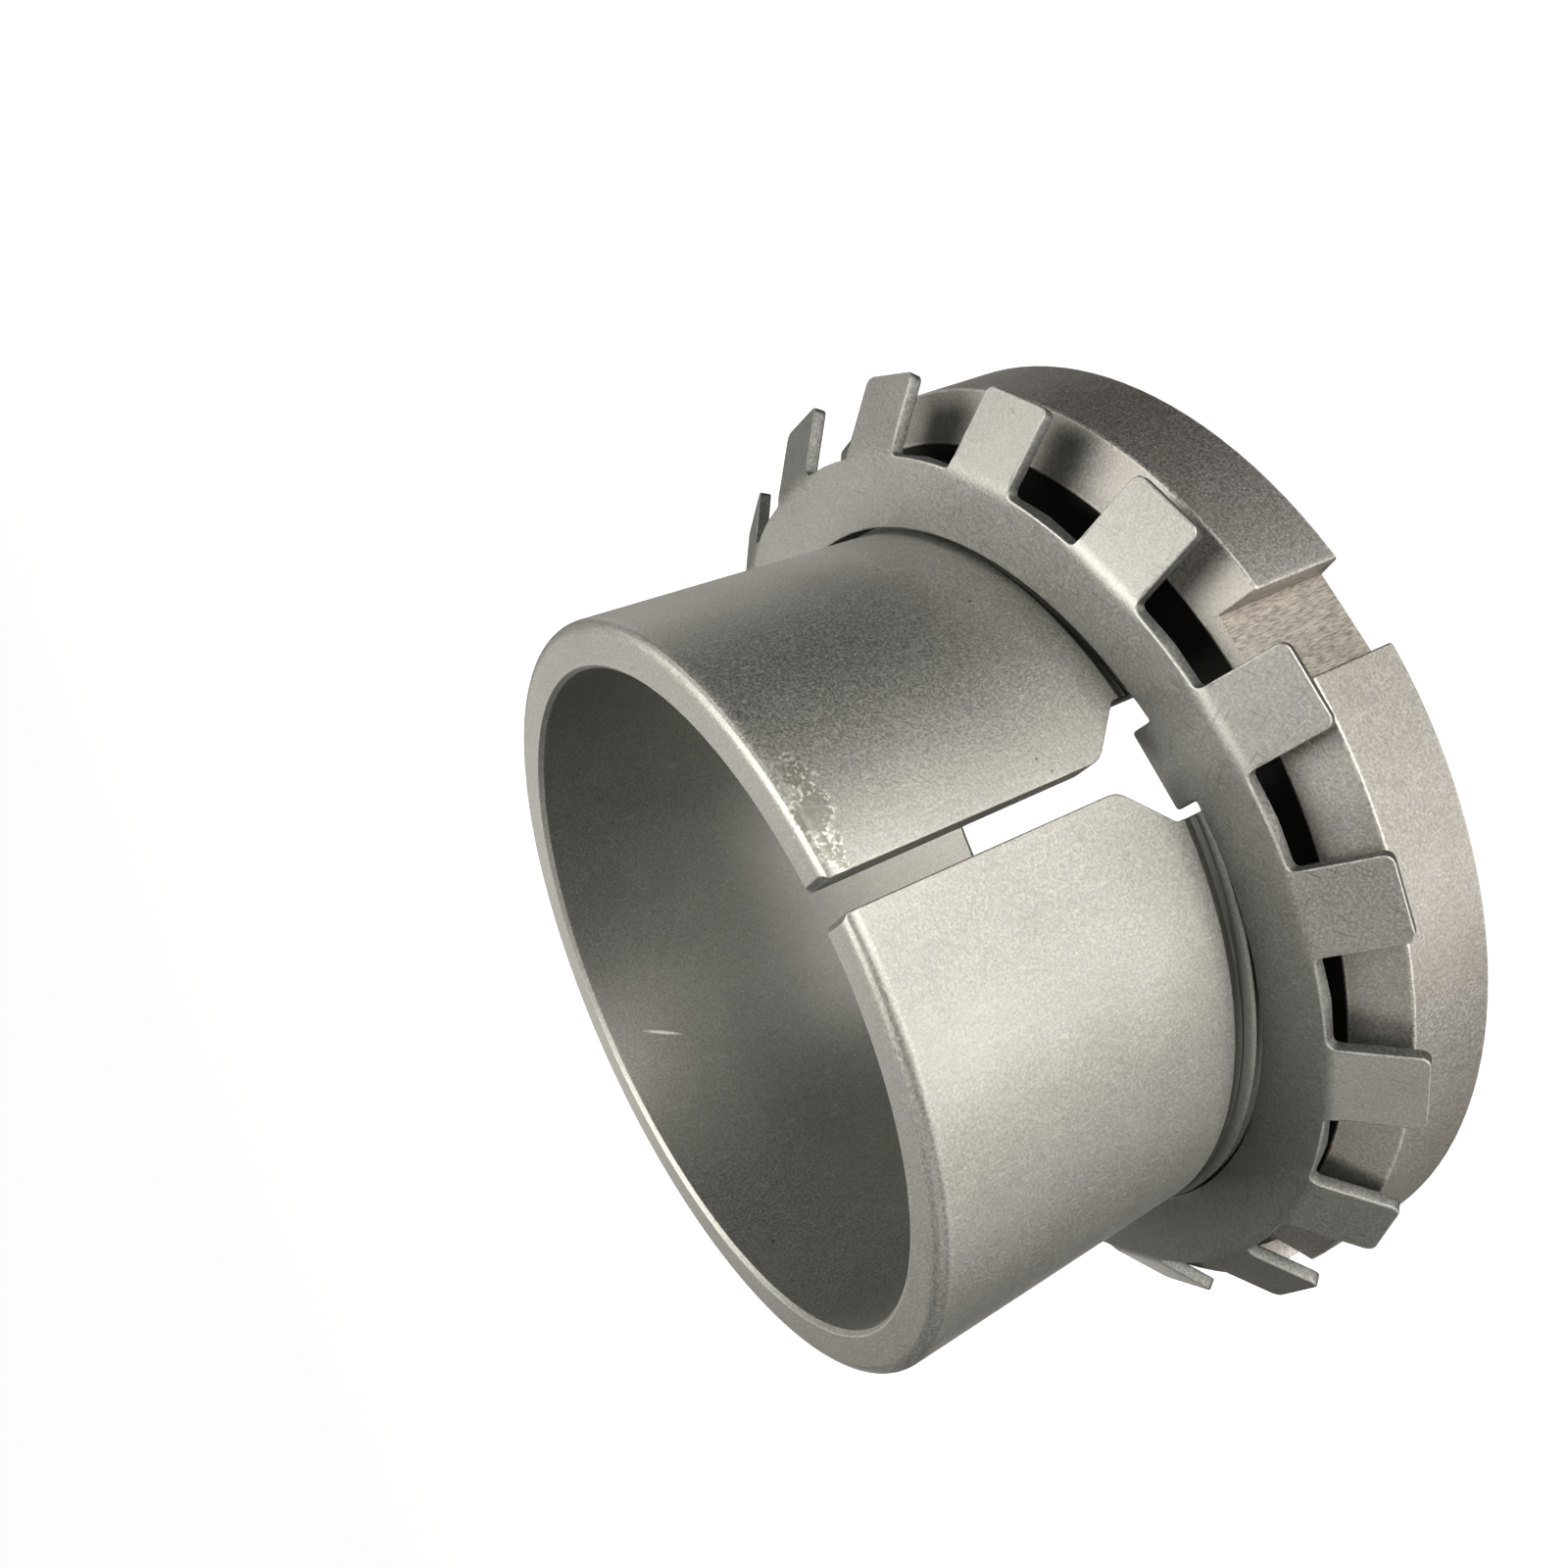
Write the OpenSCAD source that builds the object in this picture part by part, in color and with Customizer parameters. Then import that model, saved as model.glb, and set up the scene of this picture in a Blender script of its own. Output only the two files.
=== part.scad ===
// Adapter sleeve for a bearing with a tapered bore: split sleeve, lock washer and lock nut.
// Millimetres, +Z up along the axis. The sleeve stands on its threaded end at Z = 0 and the slit faces -Y.

/* [Sleeve] */
// Diameter of the shaft that the bore takes
shaft_d = 90; // [88:0.1:91]
// Whole length of the sleeve
sleeve_len = 71; // [69:0.5:80]
// Diameter of the taper at the thick end
big_end_d = 102.5; // [102:0.1:104]
// Length over which the taper gains one millimetre of diameter
taper = 12; // [11:0.5:16]
// Length of the tapered seat, from the thick end
seat_len = 44.5; // [43:0.5:46]
// Radius on the outer edge of the thick end
rim_round = 1.6; // [0.5:0.1:2.5]
// Chamfer at the bore's mouth, thick end
mouth_chamfer = 0.6; // [0.2:0.1:1.5]
// Chamfer at the bore's other end
tail_chamfer = 0.8; // [0.2:0.1:1.5]

/* [Slit and keyway] */
// Width of the slit along the seat
slit_w = 3.9; // [2:0.1:6]
// Chamfer on the slit's corners at the thick end
slit_corner = 0.8; // [0.2:0.1:2]
// Distance from the thick end to where the slit starts to widen
slit_len = 37.5; // [34:0.5:38]
// Width of the keyway through the thread, for the washer's tongue
key_w = 15.6; // [15:0.1:17]

/* [Thread] */
// Outer diameter of the thread
thread_d = 100; // [99.6:0.1:100.2]
// Pitch of the thread
thread_pitch = 2; // [1.5:0.1:2.5]
// Radial play between the sleeve's thread and the nut's
thread_play = 0.05; // [0.02:0.01:0.1]
// Chamfer where the thread starts
lead_chamfer = 1.2; // [0.5:0.1:2]
// Width of the flat relief between thread and seat
relief_w = 1; // [0.5:0.1:1.5]

/* [Lock washer] */
// Thickness of the sheet
sheet_t = 1.75; // [1.5:0.05:2]
// Radial play of the washer on the thread
washer_play = 0.25; // [0.2:0.05:0.4]
// Diameter of the ring without its tabs
ring_d = 120; // [119:0.5:121]
// Number of outer tabs
tab_count = 17; // [11:2:17]
// Width of a tab
tab_w = 10.5; // [8:0.1:12]
// Length of a tab from its fold to its tip
tab_len = 11; // [8:0.1:12]
// Angle that the tabs are bent by, towards the nut
tab_bend = 37.5; // [30:0.5:40]
// Inner radius of the bend
bend_r = 2; // [1:0.1:3]
// Radius on the corners of a tab's tip
tab_corner = 1.2; // [0.3:0.1:2]
// Bevel in the corners where the tabs and the tongue leave the ring
root_bevel = 0.8; // [0.3:0.1:1.5]
// Width of the tongue
tongue_w = 10.4; // [9:0.1:10.6]
// Distance of the tongue's end from the axis
tongue_end = 46; // [45.7:0.1:47]
// Angle that the loose washer leans on the thread
washer_lean = 3.3; // [0:0.1:3.4]
// Turn of the washer in the keyway's play
washer_turn = 1.7; // [0:0.1:2]
// Gap between the tabs and the nut's rim, on the side that the washer leans to
washer_gap = 0.36; // [0.3:0.02:0.5]

/* [Lock nut] */
// Outer diameter
nut_d = 130; // [128:0.5:131]
// Width over both faces
nut_w = 17; // [16:0.5:17.5]
// Diameter of the flat face beside the washer
face_d = 118; // [114:0.5:119]
// Angle of the chamfer around that face
face_bevel = 33; // [30:0.5:40]
// Chamfer around the other face
back_chamfer = 1; // [0.5:0.1:2]
// Chamfer at both ends of the nut's thread
nut_lead = 1.3; // [0.5:0.1:2]
// Number of spanner slots
slot_count = 4; // [2:1:6]
// Width of a spanner slot
slot_w = 11.4; // [8:0.1:14]
// Depth of a spanner slot
slot_depth = 4.6; // [3:0.1:6]
// Turn of the nut's slots from the slit
nut_turn = 4.3; // [0:0.1:45]
// How far the nut sits in from the sleeve's threaded end
nut_inset = 1.5; // [1.5:0.1:2]

/* [Hidden] */
$fn = 96;

bore_r = shaft_d / 2;
big_r = big_end_d / 2;
seat_z = sleeve_len - seat_len;
seat_r = big_r - seat_len / taper / 2;
pitch_r = thread_d / 2 - 0.3248 * thread_pitch;
root_r = thread_d / 2 - 0.6134 * thread_pitch - 0.25;
land_r = pitch_r - thread_play;
relief_z = seat_z - relief_w;
land_z = relief_z - (land_r - root_r);
rim_lean = atan(0.5 / taper);
rim_z = sleeve_len - rim_round;
rim_r = big_r - rim_round / taper / 2 - rim_round / cos(rim_lean);
flare_z = sleeve_len - slit_len;
key_z = flare_z - (key_w - slit_w) / 2;

ring_r = ring_d / 2;
washer_r = thread_d / 2 + washer_play;
top_r = bend_r + sheet_t;
fold_x = ring_r - top_r * tan(tab_bend / 2);
tab_flat = tab_len - top_r * tan(tab_bend / 2);
tip_x = fold_x + top_r * sin(tab_bend) + tab_flat * cos(tab_bend);

nut_r = nut_d / 2;
nut_bore_r = pitch_r + thread_play;
nut_top = nut_inset + nut_w;
bevel_h = abs(nut_r - face_d / 2) * tan(face_bevel);
floor_r = nut_r - slot_depth;
nut_rim = [[face_d / 2, nut_top], [nut_r, nut_top - bevel_h]];

// Undersides of a tab and of the ring where the lean brings them lowest, and the washer's height that keeps
// both of them the gap away from a corner of the nut
low_bend = tab_bend + washer_lean;
low_start = turned(bend_point(bend_r, tab_bend), -washer_lean);
function height_over(p) = max(
    p.y - low_start.y + (washer_gap + (p.x - low_start.x) * sin(low_bend)) / cos(low_bend),
    p.y + (washer_gap + sheet_t) / cos(washer_lean) + p.x * tan(washer_lean)
);
washer_top = max([for (corner = nut_rim) height_over(corner)]);

// Half section of the sleeve: bore, threaded tail, relief, taper and rounded rim
module sleeve_section() {
    polygon([
        [bore_r + tail_chamfer, 0],
        [land_r - lead_chamfer, 0],
        [land_r, lead_chamfer],
        [land_r, land_z],
        [root_r, relief_z],
        [root_r, seat_z],
        [seat_r, seat_z],
        [rim_r + rim_round * cos(rim_lean), rim_z - rim_round * sin(rim_lean)],
        [rim_r, rim_z],
        [rim_r, sleeve_len],
        [bore_r + mouth_chamfer, sleeve_len],
        [bore_r, sleeve_len - mouth_chamfer],
        [bore_r, tail_chamfer]
    ]);
    translate([rim_r, rim_z])
        circle(r = rim_round);
}

// Outline of one side of the slit: broad keyway, 45 degree flare, narrow slit, broken corner
module slit_half() {
    polygon([
        [-0.1, -1],
        [key_w / 2, -1],
        [key_w / 2, key_z],
        [slit_w / 2, flare_z],
        [slit_w / 2, sleeve_len - slit_corner],
        [slit_w / 2 + slit_corner + 1, sleeve_len + 1],
        [-0.1, sleeve_len + 1]
    ]);
}

module tapered_sleeve() {
    color([0.52, 0.51, 0.49])
    difference() {
        rotate_extrude()
            sleeve_section();
        rotate([90, 0, 0])
            linear_extrude(big_r + 5) {
                slit_half();
                mirror([1, 0])
                    slit_half();
            }
    }
}

// Distance along a strip's edge, half_w from its middle, at which it meets a circle round the axis
function meet_x(circle_r, half_w) = sqrt(circle_r * circle_r - half_w * half_w);
function turned(p, a) = [p.x * cos(a) - p.y * sin(a), p.x * sin(a) + p.y * cos(a)];

// One edge of a tab along +X, from its bevelled root to its rounded tip
tab_edge = [
    [meet_x(ring_r, tab_w / 2 + root_bevel), -tab_w / 2 - root_bevel],
    [meet_x(ring_r, tab_w / 2) + root_bevel, -tab_w / 2],
    [tip_x - tab_corner, -tab_w / 2],
    [tip_x - 0.3 * tab_corner, -tab_w / 2 + 0.3 * tab_corner],
    [tip_x, -tab_w / 2 + tab_corner],
    [tip_x + 3, -tab_w / 2 + tab_corner + 1]
];

// Window between two tabs, around +X
module window_plan() {
    edge = [for (p = tab_edge) turned(p, 180 / tab_count)];
    polygon(concat(edge, [for (i = [len(edge) - 1 : -1 : 0]) [edge[i].x, -edge[i].y]]));
}

// Tongue along +X, from inside the ring towards the axis
module tongue_plan() {
    half_w = tongue_w / 2;
    side_x = meet_x(washer_r, half_w) - root_bevel;
    root_w = half_w + 1.6 * root_bevel;
    root_x = side_x + 1.6 * (meet_x(washer_r, half_w + root_bevel) - side_x);
    polygon([
        [tongue_end, -half_w],
        [side_x, -half_w],
        [root_x, -root_w],
        [root_x + 1, -root_w],
        [root_x + 1, root_w],
        [root_x, root_w],
        [side_x, half_w],
        [tongue_end, half_w]
    ]);
}

// Half section of the formed sheet: flat ring, bend and straight tab, upper face at Z = 0
function bend_point(r, a) = [fold_x + r * sin(a), r * cos(a) - top_r];
function tip_point(r) = bend_point(r, tab_bend) + tab_flat * [cos(tab_bend), -sin(tab_bend)];

module sheet_section() {
    bend_steps = [0 : tab_bend / 6 : tab_bend + 0.01];
    unbend_steps = [tab_bend : -tab_bend / 6 : -0.01];
    polygon(concat(
        [[washer_r, 0]],
        [for (a = bend_steps) bend_point(top_r, a)],
        [tip_point(top_r), tip_point(bend_r)],
        [for (a = unbend_steps) bend_point(bend_r, a)],
        [[washer_r, -sheet_t]]
    ));
}

// Washer lying flat, tongue and first tab along +X: the bent section turned round the axis, windows cut out
module flat_washer() {
    difference() {
        rotate_extrude()
            sheet_section();
        for (i = [0 : tab_count - 1])
            rotate((i + 0.5) * 360 / tab_count)
                translate([0, 0, -tab_len - sheet_t])
                    linear_extrude(tab_len + sheet_t + 1)
                        window_plan();
    }
    translate([0, 0, -sheet_t])
        linear_extrude(sheet_t)
            tongue_plan();
}

module lock_washer() {
    color([0.5, 0.51, 0.48])
    translate([0, 0, washer_top])
        rotate([0, -washer_lean, 0])
            rotate(-90 - washer_turn)
                flat_washer();
}

module nut_section() {
    polygon([
        [nut_bore_r + nut_lead, nut_inset],
        [nut_r - back_chamfer, nut_inset],
        [nut_r, nut_inset + back_chamfer],
        [nut_r, nut_top - bevel_h],
        [face_d / 2, nut_top],
        [nut_bore_r + nut_lead, nut_top],
        [nut_bore_r, nut_top - nut_lead],
        [nut_bore_r, nut_inset + nut_lead]
    ]);
}

module lock_nut() {
    color([0.48, 0.47, 0.45])
    difference() {
        rotate_extrude()
            nut_section();
        for (i = [0 : slot_count - 1])
            rotate(-90 + nut_turn + i * 360 / slot_count)
                translate([floor_r, -slot_w / 2, nut_inset - 1])
                    cube([slot_depth + 5, slot_w, nut_w + 2]);
    }
}

tapered_sleeve();
lock_washer();
lock_nut();
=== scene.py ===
import bpy
import numpy as np
from mathutils import Matrix, Vector


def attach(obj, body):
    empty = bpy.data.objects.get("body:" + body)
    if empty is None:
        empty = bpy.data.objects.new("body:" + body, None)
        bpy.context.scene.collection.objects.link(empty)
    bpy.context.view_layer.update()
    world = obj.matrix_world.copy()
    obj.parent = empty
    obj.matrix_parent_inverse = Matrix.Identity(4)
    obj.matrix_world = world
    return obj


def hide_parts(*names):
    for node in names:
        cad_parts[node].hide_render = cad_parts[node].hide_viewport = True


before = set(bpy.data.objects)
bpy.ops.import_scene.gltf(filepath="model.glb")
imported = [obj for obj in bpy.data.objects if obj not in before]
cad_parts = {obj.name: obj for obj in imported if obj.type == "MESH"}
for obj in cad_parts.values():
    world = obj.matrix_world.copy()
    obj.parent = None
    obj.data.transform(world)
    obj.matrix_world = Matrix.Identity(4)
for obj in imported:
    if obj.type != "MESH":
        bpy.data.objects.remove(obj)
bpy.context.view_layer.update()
print("frame loaded:", ", ".join(sorted(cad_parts)))

metre = 0.001   # sizes below are millimetres and degrees, meshes are metres
smoothUpTo = 38  # degrees between two faces that still shade as one surface


# General helpers for sections and grids

def smoothStep(low, high, x):
    # 0 below low, 1 above high, a smooth cubic between
    t = np.clip((x - low) / (high - low), 0, 1)
    return t * t * (3 - 2 * t)


def roundedPath(corners, radii, steps=4, hold=0.15):
    # Straight runs joined by arcs: each inner corner gives way to a circle's arc tangent to both of its sides,
    # with one more point shortly before and after it. The weight is 1 on an arc and 0 on a run.
    corners = np.array(corners, float)
    points, weight = [corners[:1]], [np.zeros(1)]
    t = np.linspace(0, 1, steps + 1)[:, None]
    for before, corner, after, radius in zip(corners[:-2], corners[1:-1], corners[2:], radii):
        u = (before - corner) / np.linalg.norm(before - corner)
        v = (after - corner) / np.linalg.norm(after - corner)
        half = np.arccos(u @ v) / 2
        reach = radius / np.tan(half)
        turn = np.pi - 2 * half
        centre = corner + (u + v) / np.linalg.norm(u + v) * radius / np.sin(half)
        spokeIn, spokeOut = corner + u * reach - centre, corner + v * reach - centre
        arc = centre + (np.sin((1 - t) * turn) * spokeIn + np.sin(t * turn) * spokeOut) / np.sin(turn)
        points += [[corner + u * (reach + hold)], arc, [corner + v * (reach + hold)]]
        weight += [np.zeros(1), np.ones(steps + 1), np.zeros(1)]
    return np.concatenate(points + [corners[-1:]]), np.concatenate(weight + [np.zeros(1)])


def withLevels(points, weight, levels, axis):
    # Adds the points where a path crosses the given values of one of its coordinates
    for level in levels:
        along = points[:, axis]
        for i in np.flatnonzero((along[:-1] - level) * (along[1:] - level) < 0)[::-1]:
            t = (level - along[i]) / (along[i + 1] - along[i])
            points = np.insert(points, i + 1, points[i] + t * (points[i + 1] - points[i]), 0)
            weight = np.insert(weight, i + 1, weight[i] + t * (weight[i + 1] - weight[i]))
    return points, weight


def pathNormals(loop):
    # Outward normal of a closed section: the tangent between both neighbours, turned by a quarter
    tangent = np.roll(loop, -1, 0) - np.roll(loop, 1, 0)
    normal = np.stack([tangent[:, 1], -tangent[:, 0]], 1)
    return normal / np.linalg.norm(normal, axis=1, keepdims=True)


def cornerInset(distance, radius):
    # How far a quarter circle lies below a corner's faces at a distance from the corner
    reach = np.clip(radius - distance, 0, radius)
    return radius - np.sqrt(radius * radius - reach * reach)


def gridQuads(rows, columns, closedColumns):
    # Faces of a grid whose rows close on themselves, wound so that they point out of the section
    across = np.arange(columns if closedColumns else columns - 1)
    i, j = np.meshgrid(np.arange(rows), across, indexing="ij")
    nextRow, nextColumn = (i + 1) % rows, (j + 1) % columns
    corners = [i * columns + j, i * columns + nextColumn, nextRow * columns + nextColumn, nextRow * columns + j]
    return np.stack(corners, -1).reshape(-1, 4)


def putPiece(name, points, faces, marks, body, node, slot, material):
    mesh = bpy.data.meshes.new(name)
    mesh.from_pydata((points.reshape(-1, 3) * metre).tolist(), [], faces)
    mesh.polygons.foreach_set("use_smooth", np.ones(len(mesh.polygons), bool))
    mesh.set_sharp_from_angle(angle=np.radians(smoothUpTo))
    for mark, values in marks.items():
        layer = mesh.attributes.new(mark, "FLOAT", "POINT")
        layer.data.foreach_set("value", values.astype(np.float32).ravel())
    mesh.materials.append(material)
    mesh.update()
    piece = bpy.data.objects.new(name, mesh)
    bpy.context.scene.collection.objects.link(piece)
    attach(piece, body)
    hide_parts(node)
    print("piece made:", name, len(mesh.polygons), "faces")


# Thread shared by the sleeve and the nut

thread = {
    "crestR": 49.95,
    "pitch": 2.0,
    "depth": 1.15,
    "crestFlat": 0.25,
    "play": 0.18,     # radial room between both threads
    "nutMinorR": 49.03,
}


def threadRadius(height, angle):
    # Distance to the nearest crest of the right-hand helix (height less pitch times turns), then a 60 degree
    # flank falling from the crest's flat to the root
    away = np.abs((height / thread["pitch"] - angle / (2 * np.pi) + 0.5) % 1 - 0.5) * thread["pitch"]
    fall = np.clip((away - thread["crestFlat"] / 2) * np.sqrt(3), 0, thread["depth"])
    return thread["crestR"] - fall


# Steel finishes

def steelFinish(name, look):
    material = bpy.data.materials.new(name)
    material.use_nodes = True
    nodes, links = material.node_tree.nodes, material.node_tree.links
    shader = nodes["Principled BSDF"]
    shader.inputs["Metallic"].default_value = 1.0
    place = nodes.new("ShaderNodeTexCoord").outputs["Object"]

    def feed(source, socket):
        # A tuple or a number is set on the socket, anything else is linked to it
        if isinstance(source, (tuple, int, float)):
            socket.default_value = source
        else:
            links.new(source, socket)

    def noise(grainSize, detail, roughness, turn=0):
        # Grain of one size in metres, or of a width, length and height before it is turned about the axis
        texture = nodes.new("ShaderNodeTexNoise")
        texture.inputs["Scale"].default_value = 1
        texture.inputs["Detail"].default_value = detail
        texture.inputs["Roughness"].default_value = roughness
        mapping = nodes.new("ShaderNodeMapping")
        mapping.vector_type = "TEXTURE"
        mapping.inputs["Scale"].default_value = grainSize if isinstance(grainSize, tuple) else (grainSize,) * 3
        mapping.inputs["Rotation"].default_value = (0, 0, np.radians(turn))
        links.new(place, mapping.inputs["Vector"])
        links.new(mapping.outputs["Vector"], texture.inputs["Vector"])
        return texture.outputs["Fac"]

    def spread(value, low, high, outLow, outHigh):
        ranged = nodes.new("ShaderNodeMapRange")
        for socket, number in zip(("From Min", "From Max", "To Min", "To Max"), (low, high, outLow, outHigh)):
            ranged.inputs[socket].default_value = number
        links.new(value, ranged.inputs["Value"])
        return ranged.outputs["Result"]

    def mixed(amount, first, second):
        mix = nodes.new("ShaderNodeMix")
        mix.data_type = "RGBA"
        for source, socket in ((amount, mix.inputs[0]), (first, mix.inputs[6]), (second, mix.inputs[7])):
            feed(source, socket)
        return mix.outputs[2]

    def calc(kind, first, second):
        node = nodes.new("ShaderNodeMath")
        node.operation = kind
        node.use_clamp = True
        feed(first, node.inputs[0])
        feed(second, node.inputs[1])
        return node.outputs["Value"]

    def dimmed(value, amount):
        return calc("MULTIPLY", value, amount)

    def mark(layer):
        attribute = nodes.new("ShaderNodeAttribute")
        attribute.attribute_name = layer
        return attribute.outputs["Fac"]

    def specks(apart, size):
        # One dot in each cell of a random pattern, of any radius up to the size
        cells = nodes.new("ShaderNodeTexVoronoi")
        cells.inputs["Scale"].default_value = 1 / apart
        links.new(place, cells.inputs["Vector"])
        radius = calc("MULTIPLY", cells.outputs["Color"], size / apart)
        return spread(calc("SUBTRACT", cells.outputs["Distance"], radius), 0, 0.2 * size / apart, 1, 0)

    def patch(centre, halfSizes, turn, ragged):
        # Distance from a place in units of the patch's half sizes, made ragged by grain
        mapping = nodes.new("ShaderNodeMapping")
        mapping.vector_type = "TEXTURE"
        mapping.inputs["Location"].default_value = centre
        mapping.inputs["Rotation"].default_value = (0, np.radians(turn), 0)
        mapping.inputs["Scale"].default_value = halfSizes
        links.new(place, mapping.inputs["Vector"])
        length = nodes.new("ShaderNodeVectorMath")
        length.operation = "LENGTH"
        links.new(mapping.outputs["Vector"], length.inputs[0])
        wobble = dimmed(noise(min(halfSizes) * 0.8, 3, 0.6), ragged)
        half = calc("MULTIPLY", length.outputs["Value"], 0.5)
        return calc("ADD", half, calc("SUBTRACT", wobble, ragged * 0.25))

    grain = noise(look["grainSize"], 3, 0.65)
    cloud = noise(look["cloudSize"], 4, 0.55)
    colour = mixed(spread(cloud, 0.35, 0.65, 0, 1), look["dark"], look["light"])
    colour = mixed(spread(grain, 0.55, 0.36, 0, look["grainTone"]), colour, look["pit"])
    colour = mixed(spread(grain, 0.54, 0.7, 0, look["glintTone"]), colour, look["bare"])
    lines = [noise(look["scratchSize"], 1, 0.4, turn) for turn in look["scratchTurns"]]
    scratches = calc("ADD", *[spread(line, 0.7, 0.76, 0, look["scratchTone"]) for line in lines])
    colour = mixed(scratches, colour, look["scratch"])
    dots = dimmed(specks(look["speckApart"], look["speckSize"]), look["speckTone"])
    colour = mixed(dots, colour, look["speck"])
    worn = calc("MULTIPLY", mark("edgeWear"), spread(grain, 0.35, 0.65, look["wearLow"], look["wearHigh"]))
    colour = mixed(worn, colour, look["bare"])
    rough = spread(grain, 0.35, 0.65, look["roughLow"], look["roughHigh"])
    height = grain
    if "slot" in look:
        milled = noise(look["lineSize"], 3, 0.65)
        inSlot = mark("slotFloor")
        floorTone = mixed(spread(milled, 0.36, 0.64, 0, 1), look["slot"], look["slotLight"])
        colour = mixed(inSlot, colour, floorTone)
        rust = calc("MULTIPLY", specks(look["rustApart"], look["rustSize"]), mark("edgeWear"))
        colour = mixed(rust, colour, look["rust"])
        height = calc("ADD", dimmed(grain, 0.5), calc("MULTIPLY", milled, inSlot))
    if "shear" in look:
        torn = noise(look["shearSize"], 2, 0.6)
        onWall = mark("cutWall")
        wallTone = mixed(spread(torn, 0.4, 0.66, 0, 1), look["shear"], look["shearLight"])
        colour = mixed(onWall, colour, wallTone)
        height = calc("ADD", dimmed(grain, 0.5), calc("MULTIPLY", torn, onWall))
    if "film" in look:
        apart = patch(*look["film"], look["filmRagged"])
        crust = calc("MULTIPLY", spread(apart, 0.36, 0.46, 0.15, 1), spread(apart, 0.5, 0.56, 1, 0))
        crust = calc("MULTIPLY", crust, spread(noise(look["crustSize"], 2, 0.6), 0.5, 0.6, 0, 0.8))
        colour = mixed(spread(apart, 0.44, 0.5, 0.8, 0), colour, look["filmColour"])
        colour = mixed(crust, colour, look["crust"])
        # Painted highlight: a near-white glint streak laid on the bore's colour
        paintedGlint = patch(*look["paintedGlint"], look["paintedGlintRagged"])
        colour = mixed(spread(paintedGlint, 0.3, 0.5, 0.9, 0), colour, look["paintedGlintColour"])
    # Painted shade: a dark colour wherever the piece's shade mark is set
    if "paintedShadeColour" in look:
        colour = mixed(mark("shade"), colour, look["paintedShadeColour"])
    links.new(colour, shader.inputs["Base Color"])
    links.new(rough, shader.inputs["Roughness"])
    bump = nodes.new("ShaderNodeBump")
    bump.inputs["Strength"].default_value = look["bump"]
    bump.inputs["Distance"].default_value = look["bumpDepth"]
    links.new(height, bump.inputs["Height"])
    links.new(bump.outputs["Normal"], shader.inputs["Normal"])
    print("finish made:", name)
    return material


# Tapered sleeve

sleeve = {
    "boreR": 45.0,
    "length": 71.0,
    "bigR": 51.25,
    "taper": 12.0,        # run for one millimetre of diameter
    "seatLength": 44.5,
    "rimRound": 1.6,
    "mouthChamfer": 0.6,
    "tailChamfer": 0.8,
    "leadR": 48.1,        # end face's outer radius, where the thread starts
    "reliefR": 48.52,
    "reliefZ": 25.5,
    "slitWidth": 3.9,
    "slitLength": 37.5,
    "slitCorner": 0.6,
    "flareRound": 3.0,
    "keyRound": 1.0,
    "keyWidth": 15.6,
    "wallRound": 0.2,
    "edgeRound": 0.25,
    "columns": 180,
    "threadStep": 0.25,
    "look": {
        "dark": (0.33, 0.325, 0.305, 1), "light": (0.36, 0.36, 0.335, 1), "cloudSize": 0.012,
        "pit": (0.2, 0.195, 0.18, 1), "bare": (0.58, 0.575, 0.545, 1),
        "grainSize": 0.00033, "grainTone": 0.58, "glintTone": 0.38,
        "speckApart": 0.008, "speckSize": 0.00025, "speckTone": 0.8, "speck": (0.09, 0.087, 0.078, 1),
        "scratchSize": (0.0003, 0.006, 0.006), "scratchTurns": (25, -50), "scratchTone": 0.2,
        "scratch": (0.55, 0.54, 0.51, 1),
        "wearLow": 0.02, "wearHigh": 0.15,
        "roughLow": 0.48, "roughHigh": 0.6, "bump": 0.25, "bumpDepth": 0.0001,
        # Painted shade colour for the thread's roots and the relief groove
        "paintedShadeColour": (0.1, 0.098, 0.088, 1),
        # Dried film beside the rim, and a painted highlight in the bore (a bright glint streak): centre, half
        # sizes and turn about Y
        "film": ((0.0092, -0.0503, 0.0683), (0.0125, 0.005, 0.0032), 12), "filmRagged": 0.8,
        "filmColour": (0.225, 0.219, 0.19, 1), "crust": (0.68, 0.67, 0.63, 1), "crustSize": 0.0005,
        # Painted highlight in the bore: a near-white glint streak
        "paintedGlint": ((0.0022, 0.04495, 0.0628), (0.0004, 0.002, 0.0042), 28), "paintedGlintRagged": 0.4,
        "paintedGlintColour": (0.9, 0.89, 0.88, 1),
    },
}


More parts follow.
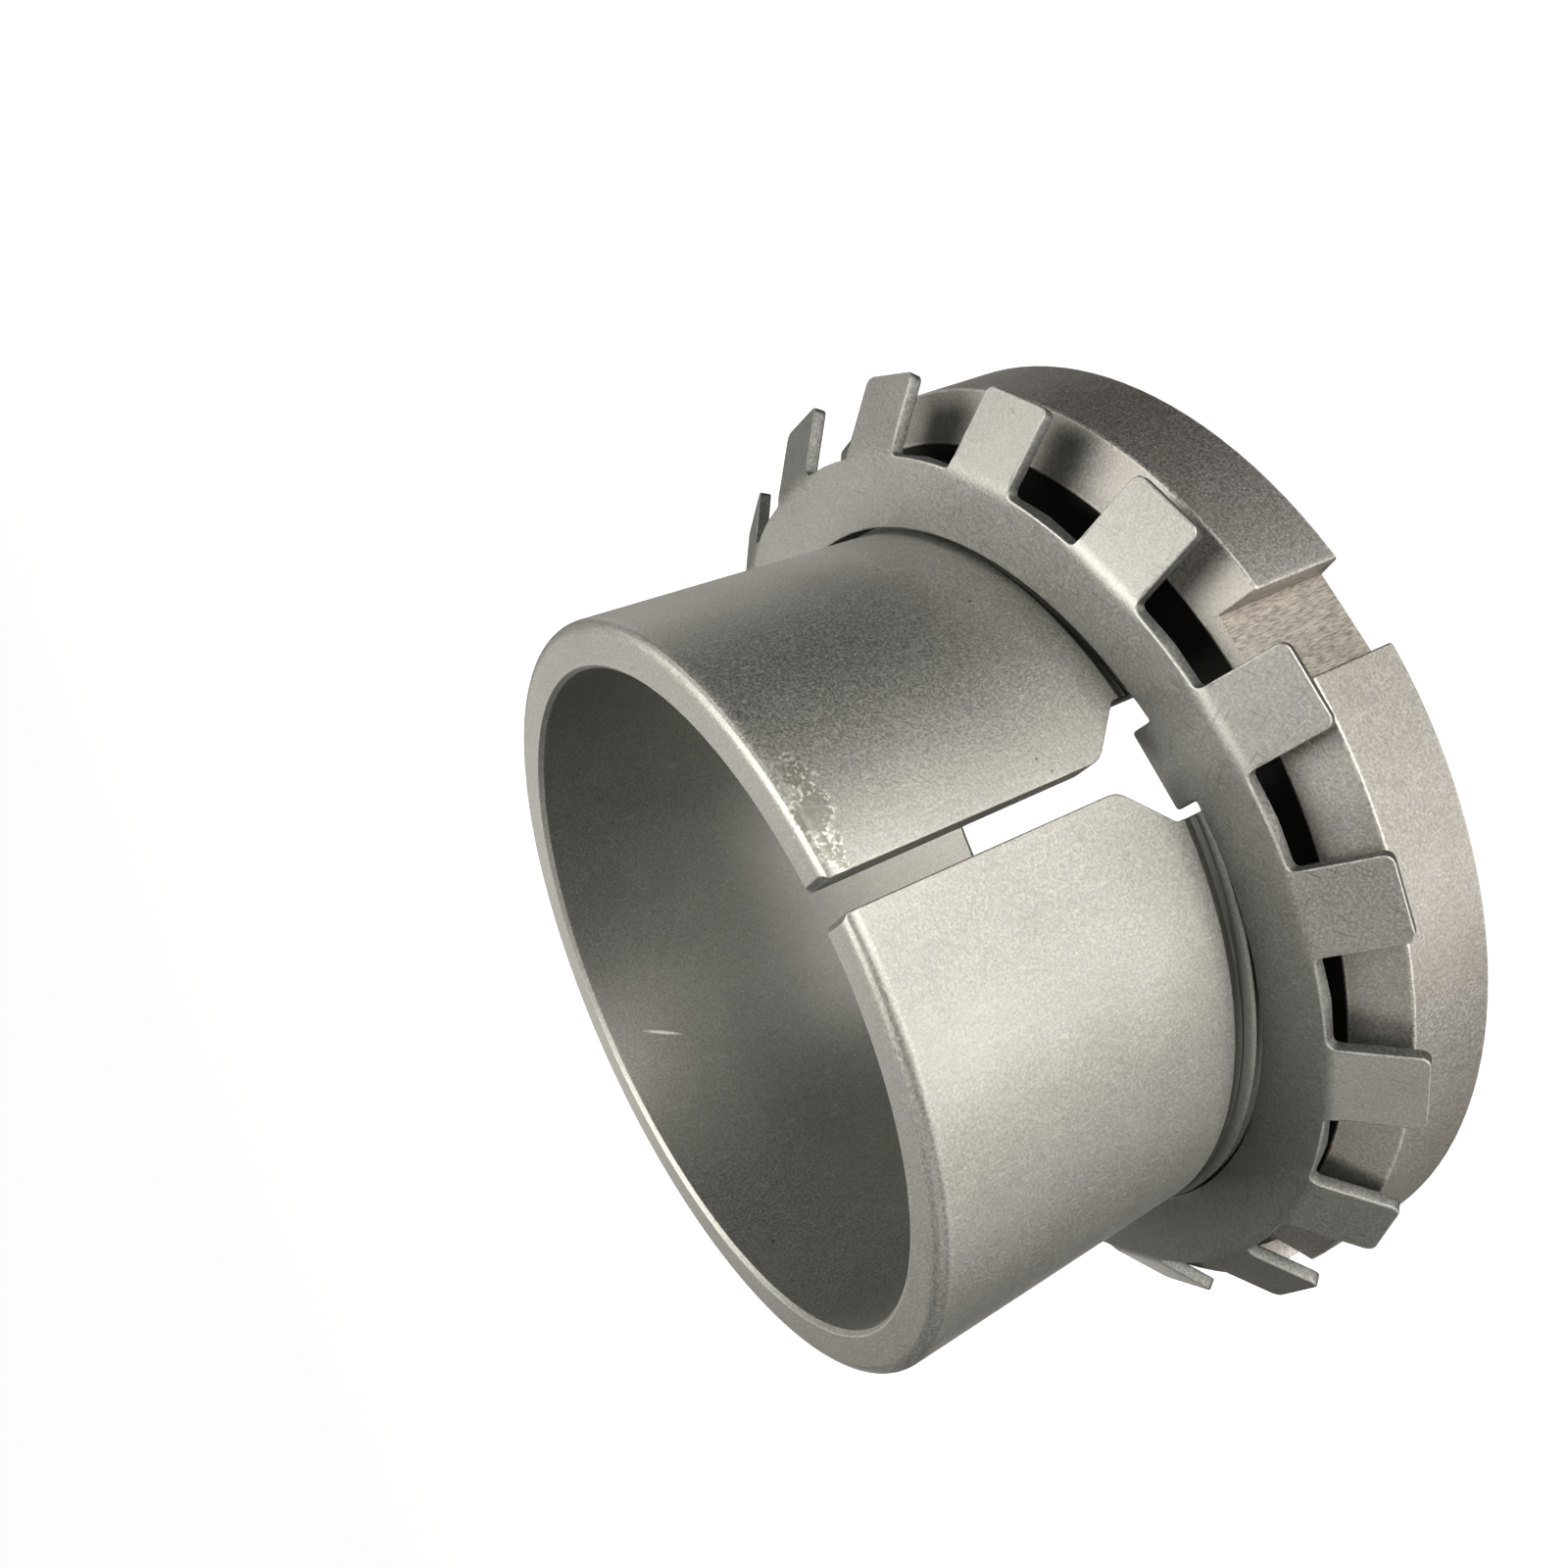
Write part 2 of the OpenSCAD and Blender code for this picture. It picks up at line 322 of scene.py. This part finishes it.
def sleeveSurface(s):
    # A closed section carried round the axis from one wall of the slit to the other. The section is bore,
    # end face, thread, relief, taper, rounded rim; the wall stands half the slit's width from the middle plane,
    # so a row of radius r starts at the angle whose sine is that width over r.
    seatZ = s["length"] - s["seatLength"]
    seatR = s["bigR"] - s["seatLength"] / s["taper"] / 2
    flareZ = s["length"] - s["slitLength"]
    halfSlit, halfKey = s["slitWidth"] / 2, s["keyWidth"] / 2
    keyZ = flareZ - (halfKey - halfSlit)
    edge = s["edgeRound"]
    tail, tailWeight = roundedPath([
        (s["boreR"], 3), (s["boreR"], s["tailChamfer"]), (s["boreR"] + s["tailChamfer"], 0),
        (s["leadR"], 0), (s["leadR"] + 0.3, 0.3)], (edge, edge, edge), hold=0.05)
    head, headWeight = roundedPath([
        (s["reliefR"], s["reliefZ"]), (s["reliefR"], seatZ), (seatR, seatZ), (s["bigR"], s["length"]),
        (s["boreR"] + s["mouthChamfer"], s["length"]), (s["boreR"], s["length"] - s["mouthChamfer"]),
        (s["boreR"], 3.2)], (edge, edge, s["rimRound"], edge, edge), steps=6)
    flare, _ = roundedPath([
        (-1, halfKey), (keyZ, halfKey), (flareZ, halfSlit), (s["length"] - s["slitCorner"], halfSlit),
        (s["length"], halfSlit + s["slitCorner"])], (s["keyRound"], s["flareRound"], s["wallRound"]), steps=5)
    levels = [z for z in flare[1:-1, 0] if z > seatZ + 0.3]
    head, headWeight = withLevels(head, headWeight, levels, 1)
    rise = np.arange(0.55, s["reliefZ"] - 0.1, s["threadStep"])
    pitchR = thread["crestR"] - thread["depth"] / 2
    turns = np.stack([np.full(len(rise), pitchR), rise], 1)
    loop = np.concatenate([tail, turns, head])
    weight = np.concatenate([tailWeight, np.zeros(len(rise)), headWeight])
    onThread = np.zeros(len(loop), bool)
    onThread[len(tail):len(tail) + len(rise)] = True

    baseR, baseZ = loop[:, :1], loop[:, 1:]
    half = np.interp(baseZ, flare[:, 0], flare[:, 1])
    off = np.array([0, 0.02, 0.06, 0.12, 0.2, 0.4])
    start = np.arcsin((half + off) / baseR)
    share = np.linspace(0, 1, s["columns"] + 2)[1:-1]
    between = start[:, -1:] + share * 2 * (np.pi - start[:, -1:])
    angle = np.concatenate([start, between, 2 * np.pi - start[:, ::-1]], 1)

    # Thread rows climb with the helix, except near both ends, where they level out
    shear = smoothStep(0.5, 5, baseZ) * smoothStep(s["reliefZ"], s["reliefZ"] - 5, baseZ)
    z = baseZ + np.where(onThread[:, None], shear * thread["pitch"] * (angle / (2 * np.pi) - 0.5), 0)
    cut = np.minimum(threadRadius(z, angle), np.minimum(s["leadR"] + z, s["reliefR"] + s["reliefZ"] - z))
    r = np.where(onThread[:, None], cut, baseR)
    # Painted shade mark: the thread's roots darkened by their depth, and the relief groove
    inRelief = (baseR < s["reliefR"] + 0.35) & (baseZ > s["reliefZ"] - 0.1) & (baseZ < seatZ + 0.1)
    hollow = np.clip((thread["crestR"] - 0.1 - r) / thread["depth"], 0, 1)
    shade = np.where(onThread[:, None], hollow, inRelief & (baseR > s["boreR"] + 1))

    # Edges of the slit: rows sink along the section's normal as a quarter circle does
    sink = np.concatenate([cornerInset(off, s["wallRound"]), np.zeros(s["columns"]),
                           cornerInset(off[::-1], s["wallRound"])])
    normal = pathNormals(loop)
    r = r - normal[:, :1] * sink
    z = z - normal[:, 1:] * sink
    k = len(off)
    angle[:, :k] = np.arcsin((half + off) / r[:, :k])
    angle[:, -k:] = 2 * np.pi - np.arcsin((half + off[::-1]) / r[:, -k:])
    points = np.stack([r * np.sin(angle), -r * np.cos(angle), z], -1)

    rows, columns = r.shape
    faces = gridQuads(rows, columns, False).tolist()
    cuts = [-1, *levels, s["length"] + 1]
    flat = loop[:, 1]
    for low, high in zip(cuts[:-1], cuts[1:]):
        wall = np.flatnonzero((flat > low - 1e-6) & (flat < high + 1e-6))
        faces.append((wall * columns).tolist())
        faces.append((wall * columns + columns - 1)[::-1].tolist())
    nearWall = np.zeros(columns)
    nearWall[:k] = np.exp(-off / 0.15)
    nearWall[-k:] = nearWall[:k][::-1]
    wear = np.maximum(weight[:, None], nearWall)
    return points, faces, {"edgeWear": wear, "shade": shade}


putPiece("splitSleeve", *sleeveSurface(sleeve), "sleeve", "tapered_sleeve", "sleeve_steel",
         steelFinish("blastedSleeveSteel", sleeve["look"]))


# Lock nut

nut = {
    "lowZ": 1.5,
    "topZ": 18.5,
    "outerR": 65.0,
    "faceR": 59.0,
    "bevel": 33.0,
    "backChamfer": 1.0,
    "boreR": 50.7,        # where the thread's chamfer meets the faces
    "slots": 4,
    "slotWidth": 11.4,
    "floorR": 60.4,
    "turn": 4.3,          # of the slots, from the slit
    "mouthRound": 0.3,
    "edgeRounds": (0.15, 0.3, 0.3, 0.4, 0.4, 0.15),  # along the section, from the bore's low chamfer
    "floorGap": 0.05,     # the slot's wall leans by this much down to the floor
    "landColumns": 30,
    "threadStep": 2 / 12,
    "look": {
        "dark": (0.305, 0.29, 0.265, 1), "light": (0.34, 0.33, 0.315, 1), "cloudSize": 0.012,
        "pit": (0.17, 0.163, 0.15, 1), "bare": (0.62, 0.605, 0.57, 1),
        "grainSize": 0.00033, "grainTone": 0.58, "glintTone": 0.34,
        "speckApart": 0.008, "speckSize": 0.00025, "speckTone": 0.7, "speck": (0.1, 0.09, 0.075, 1),
        "scratchSize": (0.00025, 0.007, 0.007), "scratchTurns": (70, -20), "scratchTone": 0.15,
        "scratch": (0.55, 0.54, 0.51, 1),
        "wearLow": 0.1, "wearHigh": 0.7,
        "roughLow": 0.48, "roughHigh": 0.6, "bump": 0.28, "bumpDepth": 0.0001,
        "slot": (0.185, 0.17, 0.147, 1), "slotLight": (0.395, 0.371, 0.331, 1),
        "lineSize": (0.00022, 0.00022, 0.0013),
        # Painted shade colour, near black, for the flat face hidden under the washer
        "paintedShadeColour": (0.035, 0.034, 0.03, 1),
        "rustApart": 0.006, "rustSize": 0.0008, "rust": (0.42, 0.3, 0.14, 1),
    },
}


def nutSurface(s):
    # A closed section carried round the axis. Between two slots a row runs as a circle. Across a slot its
    # points keep their distance from the slot's middle, and none reaches further out than the flat floor.
    bevelRise = np.tan(np.radians(s["bevel"]))
    bevelZ = s["topZ"] - (s["outerR"] - s["faceR"]) * bevelRise
    section, weight = roundedPath([
        (s["boreR"] - 0.5, s["lowZ"] + 0.5), (s["boreR"], s["lowZ"]),
        (s["outerR"] - s["backChamfer"], s["lowZ"]), (s["outerR"], s["lowZ"] + s["backChamfer"]),
        (s["outerR"], bevelZ), (s["faceR"], s["topZ"]),
        (s["boreR"], s["topZ"]), (s["boreR"] - 0.5, s["topZ"] - 0.5)], s["edgeRounds"])
    halfSlot = s["slotWidth"] / 2
    wallFoot = halfSlot - s["floorGap"]
    rowR = np.hypot(s["floorR"], wallFoot)
    section, weight = withLevels(section, weight, [s["floorR"] - 0.6, rowR], 0)
    drop = np.arange(s["topZ"] - 0.6, s["lowZ"] + 0.55, -s["threadStep"])
    turns = np.stack([np.full(len(drop), thread["crestR"] - 0.5), drop], 1)
    loop = np.concatenate([section, turns])
    weight = np.concatenate([weight, np.zeros(len(drop))])
    onThread = np.arange(len(loop)) >= len(section)
    onFloorLine = np.isclose(loop[:, 0], rowR) & (loop[:, 1] > bevelZ)
    baseR, baseZ = loop[:, :1], loop[:, 1:]

    across = np.concatenate([[-wallFoot, -halfSlot + 0.3], np.linspace(-4.8, 4.8, 7),
                             [halfSlot - 0.3, wallFoot]])
    off = np.array([0, 0.03, 0.09, 0.18, 0.3, 0.6])
    share = np.linspace(0, 1, s["landColumns"] + 2)[1:-1]
    out = np.minimum(np.sqrt(baseR ** 2 - across ** 2), s["floorR"])
    out = np.where(onFloorLine[:, None], s["floorR"], out)
    slotR, slotAngle = np.hypot(out, across), np.arctan2(across, out)
    floorZ = s["topZ"] - (slotR - s["faceR"]) * bevelRise
    slotZ = np.where(onFloorLine[:, None], floorZ, baseZ)
    step = 2 * np.pi / s["slots"]
    start = np.arcsin((halfSlot + off) / baseR)
    between = start[:, -1:] + share * (step - 2 * start[:, -1:])
    landAngle = np.concatenate([start, between, step - start[:, ::-1]], 1)

    # Mouth of each slot: rows outside the floor sink along the section's normal
    bare = np.zeros(s["landColumns"])
    sink = np.concatenate([cornerInset(off, s["mouthRound"]), bare, cornerInset(off[::-1], s["mouthRound"])])
    sink = sink * smoothStep(s["floorR"] + 0.3, s["floorR"] + 1.3, baseR)
    normal = pathNormals(loop)
    landR, landZ = baseR - normal[:, :1] * sink, baseZ - normal[:, 1:] * sink
    nearWall = np.concatenate([np.exp(-off / 0.2), bare, np.exp(-off[::-1] / 0.2)])
    landWear = np.maximum(weight[:, None], nearWall * smoothStep(s["floorR"], s["floorR"] + 1, baseR))

    radius = np.tile(np.concatenate([slotR, landR], 1), s["slots"])
    height = np.tile(np.concatenate([slotZ, landZ], 1), s["slots"])
    oneTurn = np.concatenate([slotAngle, landAngle], 1)
    angle = np.concatenate([oneTurn + np.radians(s["turn"]) + i * step for i in range(s["slots"])], 1)
    inner = np.maximum(threadRadius(height, angle) + thread["play"], thread["nutMinorR"])
    chamfer = s["boreR"] - np.minimum(height - s["lowZ"], s["topZ"] - height)
    radius = np.where(onThread[:, None], np.maximum(inner, chamfer), radius)
    points = np.stack([radius * np.sin(angle), -radius * np.cos(angle), height], -1)

    onFloor = np.broadcast_to((baseR > s["floorR"]).astype(float), slotR.shape)
    inSlot = np.tile(np.concatenate([onFloor, np.zeros_like(landR)], 1), s["slots"])
    wear = np.tile(np.concatenate([np.zeros_like(slotR), landWear], 1), s["slots"])
    faces = gridQuads(*radius.shape, True).tolist()
    # Painted shade mark: the nut's flat face under the washer, where the washer shades it
    onFace = (baseZ > s["topZ"] - 0.4) & (baseR < s["faceR"] - 0.2)
    shade = np.broadcast_to(onFace.astype(float), radius.shape)
    return points, faces, {"edgeWear": wear, "slotFloor": inSlot, "shade": shade}


putPiece("slottedNut", *nutSurface(nut), "nut", "lock_nut", "nut_steel",
         steelFinish("blastedNutSteel", nut["look"]))


# Lock washer

washer = {
    "innerR": 50.25,
    "middleR": 55.0,
    "ringR": 60.0,
    "sheet": 1.75,
    "tabs": 17,
    "tabWidth": 10.5,
    "tipY": 70.91,        # tab's end in the flat blank
    "bendR": 3.75,        # of the upper face
    "bend": 37.5,
    "tipRound": 1.2,
    "rootRound": 1.1,
    "tongueWidth": 10.4,
    "tongueEnd": 46.0,
    "tongueSpan": 13.0,   # half the angle that the tongue's outline takes up
    "tongueRounds": (0.5, 0.35),
    "ringFrom": 7.4,      # angle past which the ring's edge runs as a circle, from a tab's middle
    "boreFrom": 8.0,      # the same for the bore, from the tongue's middle
    "edgeRound": 0.22,
    "lean": 3.3,
    "turn": 1.7,
    "topZ": 25.247,
    "look": {
        "dark": (0.31, 0.305, 0.29, 1), "light": (0.335, 0.335, 0.315, 1), "cloudSize": 0.012,
        "pit": (0.18, 0.182, 0.17, 1), "bare": (0.6, 0.6, 0.575, 1),
        "grainSize": 0.00033, "grainTone": 0.5, "glintTone": 0.3,
        "speckApart": 0.006, "speckSize": 0.00025, "speckTone": 0.75, "speck": (0.09, 0.087, 0.078, 1),
        "scratchSize": (0.0002, 0.004, 0.004), "scratchTurns": (35, -62), "scratchTone": 0.6,
        "scratch": (0.15, 0.147, 0.137, 1),
        "wearLow": 0.2, "wearHigh": 0.75,
        "roughLow": 0.48, "roughHigh": 0.6, "bump": 0.26, "bumpDepth": 0.0001,
        "shear": (0.15, 0.15, 0.143, 1), "shearLight": (0.25, 0.25, 0.24, 1), "shearSize": 0.0004,
    },
}


def outlineTable(points, spanAngle):
    # Outline points with their outward normals, spread over an angle of the middle circle by their length
    gap = np.linalg.norm(np.diff(points, axis=0), axis=1)
    run = np.concatenate([[0], np.cumsum(gap)])
    tangent = np.gradient(points, run, axis=0)
    normal = np.stack([tangent[:, 1], -tangent[:, 0]], 1)
    normal /= np.linalg.norm(normal, axis=1, keepdims=True)
    return run / run[-1] * spanAngle, points, normal


def fromTable(table, angle):
    # Point and normal at an angle of either sign, mirrored about the middle line
    where, points, normal = table
    sign = np.where(angle < 0, -1, 1)
    at = np.abs(angle)
    point = np.stack([np.interp(at, where, points[:, 0]), sign * np.interp(at, where, points[:, 1])], -1)
    across = np.stack([np.interp(at, where, normal[:, 0]), sign * np.interp(at, where, normal[:, 1])], -1)
    return point, across / np.linalg.norm(across, axis=-1, keepdims=True)


def washerSurface(s):
    # A flat blank between two outlines, then bent. Each column starts on the middle circle and runs straight
    # out to the tabs' outline and straight in to the bore's and the tongue's. Past the fold the sheet turns on
    # a circle about the fold's axis, and past the bend it runs on straight.
    halfStep = np.pi / s["tabs"]
    halfTab, halfTongue = s["tabWidth"] / 2, s["tongueWidth"] / 2
    bend = np.radians(s["bend"])
    foldY = s["ringR"] - s["bendR"] * np.tan(bend / 2)   # where the bend starts
    bendEnd = foldY + s["bendR"] * bend
    rootY = np.sqrt(s["ringR"] ** 2 - halfTab ** 2)
    ringFrom = np.radians(s["ringFrom"])
    tab, _ = roundedPath([(s["tipY"], 0), (s["tipY"], halfTab), (rootY, halfTab),
                          (s["ringR"] * np.cos(ringFrom), s["ringR"] * np.sin(ringFrom))],
                         (s["tipRound"], s["rootRound"]), steps=6, hold=0.3)
    rowsAlong, rowsAcross = (68.2, 66, 63.8, 62.2, 61.2), (1.5, 3.0)
    tab, _ = withLevels(tab, np.zeros(len(tab)), rowsAlong, 0)
    tab, _ = withLevels(tab, np.zeros(len(tab)), rowsAcross, 1)
    ring = np.linspace(ringFrom, halfStep, 4)[1:]
    tab = np.concatenate([tab, np.stack([s["ringR"] * np.cos(ring), s["ringR"] * np.sin(ring)], 1)])
    outer = outlineTable(tab, halfStep)
    tongueSpan = np.radians(s["tongueSpan"])
    sideY = np.sqrt(s["innerR"] ** 2 - halfTongue ** 2)
    boreFrom = np.radians(s["boreFrom"])
    tongue, _ = roundedPath([(s["tongueEnd"], 0), (s["tongueEnd"], halfTongue), (sideY, halfTongue),
                             (s["innerR"] * np.cos(boreFrom), s["innerR"] * np.sin(boreFrom))],
                            s["tongueRounds"], steps=5, hold=0.15)
    bore = np.linspace(boreFrom, tongueSpan, 5)[1:]
    tongue = np.concatenate([tongue, np.stack([s["innerR"] * np.cos(bore), s["innerR"] * np.sin(bore)], 1)])
    inner = outlineTable(tongue, tongueSpan)

    centres = np.arange(s["tabs"]) * 2 * halfStep
    oneTab = np.concatenate([-outer[0][1:-1], outer[0]])
    fromTabs = (centres[:, None] + oneTab).ravel()
    fromTongue = np.concatenate([-inner[0], inner[0]])
    angle = np.unique(np.round((np.concatenate([fromTabs, fromTongue]) + halfStep) % (2 * np.pi), 5)) - halfStep
    tabTurn = np.round(angle / (2 * halfStep)) * 2 * halfStep
    outPoint, outNormal = fromTable(outer, angle - tabTurn)
    around = (angle + np.pi) % (2 * np.pi) - np.pi
    inPoint, inNormal = fromTable(inner, np.clip(around, -tongueSpan, tongueSpan))
    onBore = (np.abs(around) >= tongueSpan - 1e-4)[:, None]
    spoke = np.stack([np.cos(around), np.sin(around)], -1)
    inPoint = np.where(onBore, s["innerR"] * spoke, inPoint)
    inNormal = np.where(onBore, -spoke, -inNormal)

    edge, hold = s["edgeRound"], 0.1
    arc = np.radians([0, 30, 60, 90])
    edgeIn, edgeDown = edge * (1 - np.sin(arc)), edge * (1 - np.cos(arc))

    # Outer half, in the frame of the nearest tab
    middle = s["middleR"] * np.stack([np.cos(angle - tabTurn), np.sin(angle - tabTurn)], -1)
    end = outPoint - outNormal * (edge + hold)
    first = np.minimum(foldY - 0.1, middle[:, 0] + 0.8 * (end[:, 0] - middle[:, 0]))
    last = np.minimum(bendEnd + 0.1, first + 0.75 * (end[:, 0] - first))
    share = np.linspace(0, 1, 8)[:, None]
    start, tipShare = middle[None, :, 0], np.array([[0.4], [0.7], [1]])
    along = np.concatenate([start, (start + first) / 2, first + share * (last - first),
                            last + tipShare * (end[:, 0] - last)])
    part = (along - middle[:, 0]) / (end[:, 0] - middle[:, 0])
    fieldOut = middle + part[..., None] * (end - middle)
    rimOut = outPoint - edgeIn[:, None, None] * outNormal
    flatOut = np.concatenate([fieldOut, rimOut, rimOut[::-1], fieldOut[::-1]])
    t, fieldRows = s["sheet"], len(fieldOut)
    depthOut = np.concatenate([np.full(fieldRows, t), t - edgeDown, edgeDown[::-1], np.zeros(fieldRows)])
    fromAxis = s["bendR"] - depthOut[:, None]
    past = flatOut[..., 0] - foldY
    swing = np.clip(past / s["bendR"], 0, bend)
    straight = np.maximum(flatOut[..., 0] - bendEnd, 0)
    y = np.minimum(past, 0) + foldY + fromAxis * np.sin(swing) + straight * np.cos(swing)
    z = -s["bendR"] + fromAxis * np.cos(swing) - straight * np.sin(swing)
    x = y * np.cos(tabTurn) - flatOut[..., 1] * np.sin(tabTurn)
    bentOut = np.stack([x, y * np.sin(tabTurn) + flatOut[..., 1] * np.cos(tabTurn), z], -1)

    # Inner half, flat
    centre = s["middleR"] * np.stack([np.cos(angle), np.sin(angle)], -1)
    foot = inPoint - inNormal * (edge + hold)
    fieldIn = centre + np.array([0.35, 0.75, 1])[:, None, None] * (foot - centre)
    rimIn = inPoint - edgeIn[:, None, None] * inNormal
    flatIn = np.concatenate([fieldIn, rimIn, rimIn[::-1], fieldIn[::-1]])
    depthIn = np.concatenate([np.zeros(len(fieldIn)), edgeDown, t - edgeDown[::-1], np.full(len(fieldIn), t)])
    zIn = np.broadcast_to(-depthIn[:, None], flatIn.shape[:2])
    lying = np.concatenate([bentOut, np.concatenate([flatIn, zIn[..., None]], -1)])

    onEdge, onWall = np.array([0.4, 1, 0.7, 0]), np.array([0, 0, 0.5, 1])
    fieldIdle, inIdle = np.zeros(fieldRows), np.zeros(len(fieldIn))

    def rowMark(rim):
        rows = np.concatenate([fieldIdle, rim, rim[::-1], fieldIdle, inIdle, rim, rim[::-1], inIdle])
        return np.broadcast_to(rows[:, None], lying.shape[:2])

    place = (Matrix.Translation((0, 0, s["topZ"])) @ Matrix.Rotation(-np.radians(s["lean"]), 4, "Y")
             @ Matrix.Rotation(-np.radians(90 + s["turn"]), 4, "Z"))
    place = np.array(place)
    points = lying @ place[:3, :3].T + place[:3, 3]
    faces = gridQuads(*lying.shape[:2], True).tolist()
    return points, faces, {"edgeWear": rowMark(onEdge), "cutWall": rowMark(onWall)}


putPiece("tabbedWasher", *washerSurface(washer), "washer", "lock_washer", "washer_steel",
         steelFinish("blastedWasherSteel", washer["look"]))


# Floor and light

studio = {
    "sweepColumns": 64,
    "floorR": 2.0,         # flat round the object, then a quarter circle up to the wall
    "sweepR": 2.0,
    "wallHeight": 4.0,
    "floorColour": (0.25, 0.25, 0.25, 1),
    "floorGlow": (0.96, 0.96, 0.955, 1),
    "worldColour": (1, 0.99, 0.95, 1),
    "worldStrength": 0.02,
    "aim": (0, 0, 0.035),
    "away": 0.9,
    "lightColour": (1, 0.97, 0.92),
    "lights": {            # degrees round from +X, degrees up, side of the square, watts
        "keyLight": (0, 75, 0.5, 9.5),
        "sideLight": (0, 40, 0.4, 2.5),
        "highLeftLight": (180, 40, 0.4, 1.5),
        "frontLight": (270, 10, 0.4, 4.5),
        "lowFrontLight": (275, -15, 0.4, 5.0),
        "lowLeftLight": (230, -15, 0.4, 4.5),
        "lowSideLight": (185, -15, 0.4, 1.6),
        "underLight": (225, -45, 0.5, 1.5),
        "lowBackLight": (25, -15, 0.4, 1.0),
        "backLight": (80, 25, 0.4, 1.2),
        "behindLight": (97, -12, 0.5, 4.0),
    },
}


def sweepSurface(s):
    # A section carried round the axis: flat floor, quarter circle, wall, and the same again overhead. A small
    # disc closes each end at the axis.
    bend = np.linspace(0, np.pi / 2, 16)
    wallR = s["floorR"] + s["sweepR"]
    top = 2 * s["sweepR"] + s["wallHeight"]
    rise = np.stack([s["floorR"] + s["sweepR"] * np.sin(bend), s["sweepR"] * (1 - np.cos(bend))], 1)
    fall = np.stack([rise[::-1, 0], top - rise[::-1, 1]], 1)
    section = np.concatenate([[(0.001, 0)], rise, fall, [(0.001, top)]])
    columns = s["sweepColumns"]
    angle = np.linspace(0, 2 * np.pi, columns, endpoint=False)
    points = np.stack([section[:, :1] * np.cos(angle), section[:, :1] * np.sin(angle),
                       np.broadcast_to(section[:, 1:], (len(section), columns))], -1)
    rings = gridQuads(*points.shape[:2], True)[:-columns, ::-1].tolist()
    lastRing = (len(section) - 1) * columns
    lowDisc = list(range(columns))
    return points, rings + [lowDisc, [lastRing + i for i in reversed(lowDisc)]]


sweepPoints, sweepFaces = sweepSurface(studio)
floorMesh = bpy.data.meshes.new("studioSweep")
floorMesh.from_pydata(sweepPoints.reshape(-1, 3).tolist(), [], sweepFaces)
floorMesh.polygons.foreach_set("use_smooth", np.ones(len(floorMesh.polygons), bool))
floor = bpy.data.objects.new("studioSweep", floorMesh)
bpy.context.scene.collection.objects.link(floor)
floorFinish = bpy.data.materials.new("paleFloor")
floorFinish.use_nodes = True
floorShader = floorFinish.node_tree.nodes["Principled BSDF"]
floorShader.inputs["Base Color"].default_value = studio["floorColour"]
floorShader.inputs["Roughness"].default_value = 0.9
floorShader.inputs["Specular IOR Level"].default_value = 0.1
floorShader.inputs["Emission Color"].default_value = studio["floorGlow"]
floorShader.inputs["Emission Strength"].default_value = 1.0
floorMesh.materials.append(floorFinish)
floor.visible_diffuse = floor.visible_glossy = floor.visible_shadow = False  # a backdrop that lights nothing

world = bpy.data.worlds.new("studioWorld")
world.use_nodes = True
sky = world.node_tree.nodes["Background"]
sky.inputs["Color"].default_value = studio["worldColour"]
sky.inputs["Strength"].default_value = studio["worldStrength"]
bpy.context.scene.world = world

for name, (around, above, size, watts) in studio["lights"].items():
    lamp = bpy.data.lights.new(name, "AREA")
    lamp.shape = "SQUARE"
    lamp.size, lamp.energy, lamp.color = size, watts, studio["lightColour"]
    lampObject = bpy.data.objects.new(name, lamp)
    bpy.context.scene.collection.objects.link(lampObject)
    turn, lift = np.radians(around), np.radians(above)
    toward = Vector((np.cos(turn) * np.cos(lift), np.sin(turn) * np.cos(lift), np.sin(lift)))
    lampObject.location = Vector(studio["aim"]) + toward * studio["away"]
    lampObject.rotation_euler = toward.to_track_quat("Z", "Y").to_euler()
print("floor and lights made")

# Camera matched to the photograph

view = {
    "place": (-0.01777, -0.21434, 0.14632),
    "forward": (0.16755, 0.89384, -0.41591),
    "up": (0.88100, -0.32509, -0.34374),
    "lens": 40.52,
}
forward, up = Vector(view["forward"]).normalized(), Vector(view["up"]).normalized()
side = forward.cross(up).normalized()
up = side.cross(forward)
turned = Matrix((side, up, -forward)).transposed().to_4x4()
camera = bpy.data.cameras.new("photoCamera")
camera.lens = view["lens"]
camera.sensor_width = 36
camera.clip_start, camera.clip_end = 0.01, 20
cameraObject = bpy.data.objects.new("photoCamera", camera)
cameraObject.matrix_world = Matrix.Translation(view["place"]) @ turned
bpy.context.scene.collection.objects.link(cameraObject)
bpy.context.scene.camera = cameraObject
bpy.context.scene.view_settings.view_transform = "Standard"
print("camera set")
